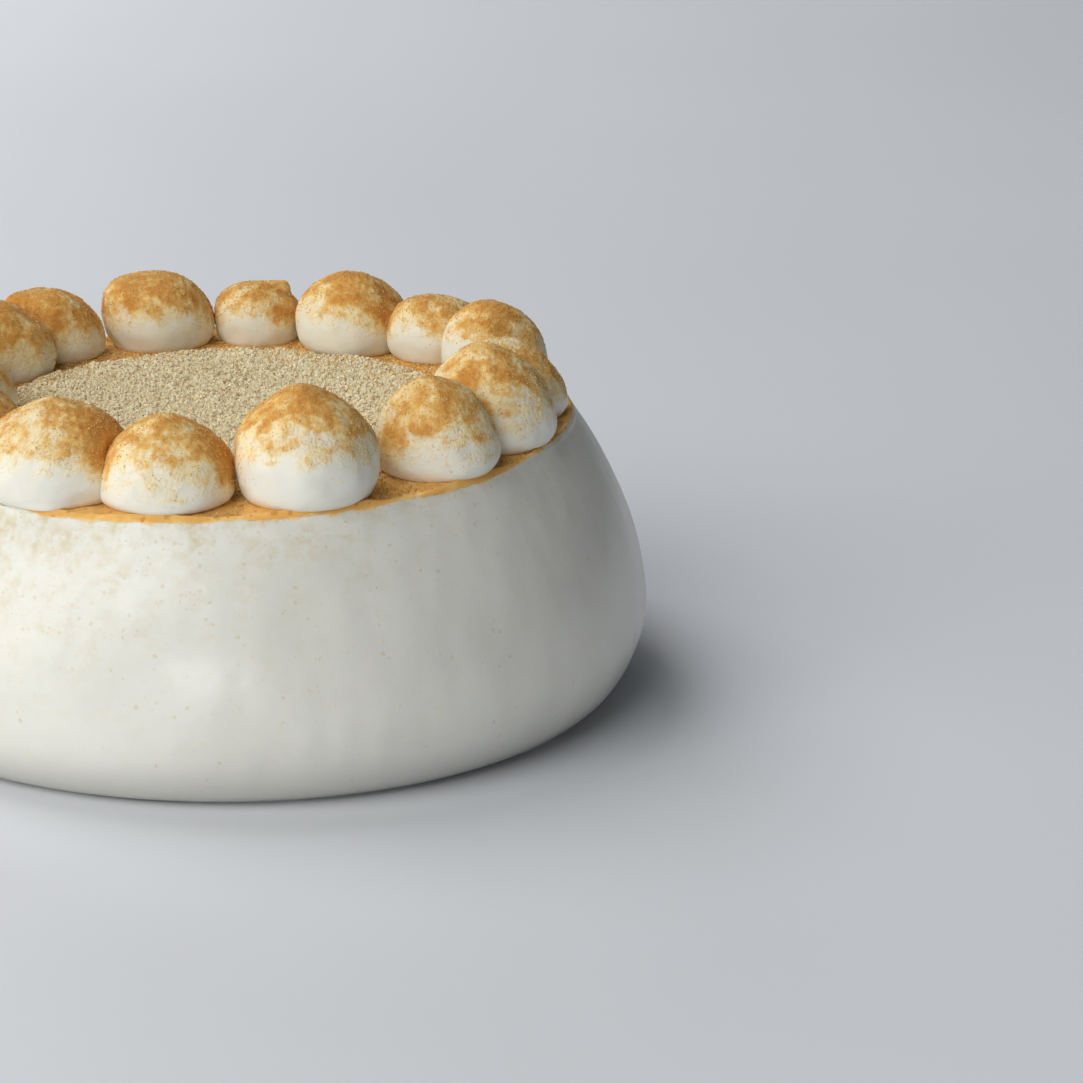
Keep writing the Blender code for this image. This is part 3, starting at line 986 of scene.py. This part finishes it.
def dusted_material():
    """Whipped cream under a ragged dusting of roasted powder."""
    material, tree, shader, where = new_material("dusted_cream")
    cover = field(tree, "dust")
    mask, tint, relief = powder_nodes(tree, where, cover)
    clouds = noise(tree, where, scale=90.0)
    cream = mixed(tree, mapped(tree, clouds, 0.35, 0.8), rgba(DOME_CREAM), rgba(CREAM))
    cream = mixed(tree, mapped(tree, cover, -0.10, 0.50, 0.0, 0.45), cream, rgba(POWDER_PALE))
    tree.links.new(mixed(tree, mask, cream, tint), shader.inputs["Base Color"])
    tree.links.new(mapped(tree, mask, 0, 1, 0.46, 0.95), shader.inputs["Roughness"])
    pores = noise(tree, where, scale=900.0, detail=3.0, roughness=0.6)
    set_powder_bump(tree, shader, mask, relief, math_node(tree, "MULTIPLY", pores, 0.15), 0.00016)
    soften(shader, 0.22, 0.0025)
    return material


def grain_material(name, dark, middle, pale, dusted=None):
    """Dry grains whose tone comes from each grain: dark, middle or pale, and powder-coloured below zero."""
    material, tree, shader, where = new_material(name)
    tone = field(tree, "tone")
    ramp = add_node(tree, "ShaderNodeValToRGB", sockets={0: tone})
    ramp.color_ramp.elements[0].color = rgba(dark)
    ramp.color_ramp.elements[1].color = rgba(pale)
    ramp.color_ramp.elements.new(0.5).color = rgba(middle)
    fine = mapped(tree, noise(tree, where, scale=4200.0, roughness=0.6), 0.3, 0.7, 0.82, 1.0)
    colour = ramp.outputs["Color"]
    if dusted:
        colour = mixed(tree, math_node(tree, "LESS_THAN", tone, -0.25), colour, rgba(dusted))
    grey = add_node(tree, "ShaderNodeCombineColor", sockets={0: fine, 1: fine, 2: fine}).outputs[0]
    shaded = add_node(tree, "ShaderNodeMix", data_type="RGBA", blend_type="MULTIPLY",
                      sockets={0: 1.0, 6: colour, 7: grey})
    tree.links.new(shaded.outputs[2], shader.inputs["Base Color"])
    tree.links.new(mapped(tree, fine, 0.8, 1.0, 0.96, 0.84), shader.inputs["Roughness"])
    set_bump(tree, shader, noise(tree, where, scale=2600.0, detail=1.0), 0.00005)
    return material


def foot_material():
    """Wetter, whiter cream along the foot."""
    material, tree, shader, where = new_material("foot_cream")
    clouds = mapped(tree, noise(tree, where, scale=300.0), 0.3, 0.7)
    cream = mixed(tree, clouds, rgba(FOOT_CREAM), rgba(FOOT_CREAM_SHADE))
    tree.links.new(cream, shader.inputs["Base Color"])
    tree.links.new(mapped(tree, clouds, 0, 1, 0.30, 0.42), shader.inputs["Roughness"])
    set_bump(tree, shader, noise(tree, where, scale=700.0), 0.0002)
    soften(shader, 0.2, 0.002)
    return material


# Room, light and camera

def make_floor():
    """A plain pale floor, large enough to fill the view."""
    half = FLOOR_HALF_WIDTH
    corners = [(-half, -half, 0), (half, -half, 0), (half, half, 0), (-half, half, 0)]
    mesh = bpy.data.meshes.new("floor")
    mesh.from_pydata(corners, [], [(0, 1, 2, 3)])
    material, tree, shader, where = new_material("pale_floor")
    clouds = mapped(tree, noise(tree, where, scale=3.0, detail=3.0), 0.3, 0.7)
    darker = tuple(0.97 * value for value in FLOOR_COLOUR)
    tree.links.new(mixed(tree, clouds, rgba(FLOOR_COLOUR), rgba(darker)), shader.inputs["Base Color"])
    shader.inputs["Roughness"].default_value = 0.6
    mesh.materials.append(material)
    floor = bpy.data.objects.new("floor", mesh)
    bpy.context.scene.collection.objects.link(floor)


def make_light(name, azimuth, elevation, distance, width, height, watts, colour, target):
    """A soft oval of light that faces its target from an azimuth and an elevation."""
    lamp = bpy.data.lights.new(name, "AREA")
    lamp.shape = "ELLIPSE"
    lamp.size, lamp.size_y = width, height
    lamp.energy, lamp.color = watts, colour
    turn, rise = math.radians(azimuth), math.radians(elevation)
    away = np.array([math.sin(turn) * math.cos(rise), -math.cos(turn) * math.cos(rise), math.sin(rise)])
    place = distance * away + target
    across = np.cross([0, 0, 1], away)
    across /= np.linalg.norm(across)
    light = bpy.data.objects.new(name, lamp)
    turned = np.column_stack([across, np.cross(away, across), away])
    light.matrix_world = Matrix.Translation(place) @ Matrix(turned.tolist()).to_4x4()
    bpy.context.scene.collection.objects.link(light)


def make_world():
    world = bpy.data.worlds.new("studio")
    world.use_nodes = True
    sky = world.node_tree.nodes["Background"]
    sky.inputs["Color"].default_value = rgba(SKY_COLOUR)
    sky.inputs["Strength"].default_value = SKY_STRENGTH
    bpy.context.scene.world = world
    bpy.context.scene.view_settings.view_transform = "Standard"


def make_camera():
    """Stands in front, turned right, tipped down and rolled as the photograph was taken."""
    yaw, pitch, roll = (math.radians(v) for v in (CAMERA_YAW, CAMERA_PITCH, CAMERA_ROLL))
    forward = np.array([math.sin(yaw) * math.cos(pitch), math.cos(yaw) * math.cos(pitch), -math.sin(pitch)])
    level = np.array([math.cos(yaw), -math.sin(yaw), 0])
    upright = np.cross(level, forward)
    right = level * math.cos(roll) + upright * math.sin(roll)
    up = upright * math.cos(roll) - level * math.sin(roll)
    data = bpy.data.cameras.new("camera")
    data.sensor_width = SENSOR_WIDTH_MM
    data.lens = SENSOR_WIDTH_MM * FOCAL_LENGTH_PX / IMAGE_SIDE_PX
    camera = bpy.data.objects.new("camera", data)
    turned = Matrix(np.column_stack([right, up, -forward]).tolist()).to_4x4()
    camera.matrix_world = Matrix.Translation((0, -CAMERA_DISTANCE, CAMERA_HEIGHT)) @ turned
    bpy.context.scene.collection.objects.link(camera)
    bpy.context.scene.camera = camera


def make_cake():
    GROUPS["powder_tint"] = powder_tint_group()
    GROUPS["powder_mask"] = powder_mask_group()
    GROUPS["specks"] = specks_group()
    domes = read_domes()
    make_body(domes, coat_material())
    dusted = dusted_material()
    surfaces = []
    for i, dome in enumerate(domes):
        neighbours = (domes[i - 1], domes[(i + 1) % DOME_COUNT])
        surfaces.append(make_dome(dome, neighbours, dusted))
    crumb = grain_material("pale_crumbs", CRUMB_DARK, CRUMB_MIDDLE, CRUMB_PALE, POWDER_MIDDLE)
    core = make_crumb_core(domes, crumb)
    make_crumbs(core, domes, crumb)
    powder = grain_material("roasted_powder", POWDER_DEEP, POWDER_MIDDLE, POWDER_PALE)
    make_powder_grains(surfaces, powder)
    make_ledge_grains(domes, powder)
    make_foot_line(foot_material())


make_cake()
make_floor()
for light in LIGHTS:
    make_light(*light)
make_world()
make_camera()
